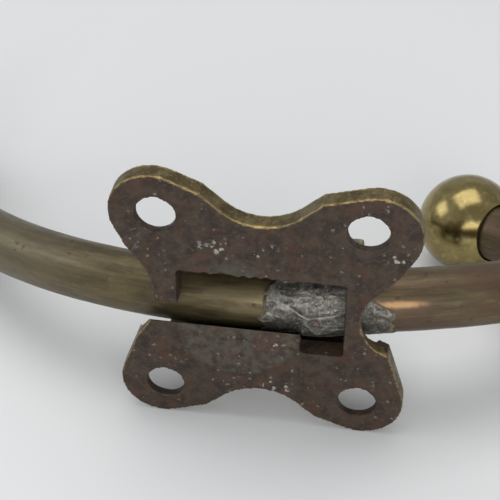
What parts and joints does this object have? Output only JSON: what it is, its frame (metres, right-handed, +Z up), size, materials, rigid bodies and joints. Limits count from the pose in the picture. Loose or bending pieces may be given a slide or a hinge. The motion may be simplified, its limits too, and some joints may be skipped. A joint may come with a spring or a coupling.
{
  "type": "casement window stay",
  "caption": "Curved round-bar casement stay with a crooked ball end, sliding through a four-eared cast bracket with a thumbscrew clamp, pinned to a sash bracket.",
  "frame": {"origin": "centre of the frame bracket's four screw holes, on its flat back face", "axes": "+X along the rod at the bracket, +Y away from the surface the bracket is screwed to, +Z up"},
  "size_m": [0.1209, 0.0589, 0.0477],
  "materials": {
    "cast_brass": "dark cast skin",
    "white_metal": "dull wrinkled",
    "plain_brass": "dull",
    "worn_brass": "dull aged",
    "rod_brass": "aged satin",
    "polished_brass": "satin",
    "bronze": "dull"
  },
  "bodies": {
    "frame": {"frame_bracket": "cast_brass"},
    "liner": {"liner_shoe": "white_metal"},
    "arm": {"arm_rod": "rod_brass", "ball_finial": "polished_brass", "finial_stud": "plain_brass", "eye_end": "worn_brass", "eye_rivet": "plain_brass", "eye_bush": "bronze"},
    "clamp_pad": {"clamp_pad": "plain_brass"},
    "thumbscrew": {"clamp_screw": "plain_brass", "thumb_head": "worn_brass", "head_pin": "plain_brass"},
    "sash": {"sash_bracket": "cast_brass", "pivot_pin": "worn_brass", "rivet_washer": "plain_brass", "upper_washer": "plain_brass", "lower_washer": "plain_brass"}
  },
  "joints": [
    {"name": "arm_roll", "type": "hinge", "parent": "frame", "child": "liner", "pos_m": [0, 0.0068, -0.0029], "axis": [0.999, 0, 0.0436], "range_deg": [-25, 60]},
    {"name": "arm_slide", "type": "hinge", "parent": "liner", "child": "arm", "pos_m": [0.00102, 0.07954, -0.02623], "axis": [-0.0415, 0.3057, 0.9512], "range_deg": [-12, 32]},
    {"name": "sash_pivot", "type": "hinge", "parent": "arm", "child": "sash", "pos_m": [-0.06692, 0.04044, -0.01663], "axis": [-0.0415, 0.3057, 0.9512], "range_deg": [-45, 80]},
    {"name": "pad_travel", "type": "slide", "parent": "frame", "child": "clamp_pad", "axis": [0.0308, 0.7071, -0.7064], "range_m": [0, 0.0007]},
    {"name": "thumbscrew_turn", "type": "hinge", "parent": "clamp_pad", "child": "thumbscrew", "pos_m": [-0.00455, 0.01698, -0.01329], "axis": [0.0308, 0.7071, -0.7064], "range_deg": [0, 360]}
  ],
  "couplings": [
    {"joint": "thumbscrew_turn", "follows": "pad_travel", "rad_per_m": 8900}
  ]
}
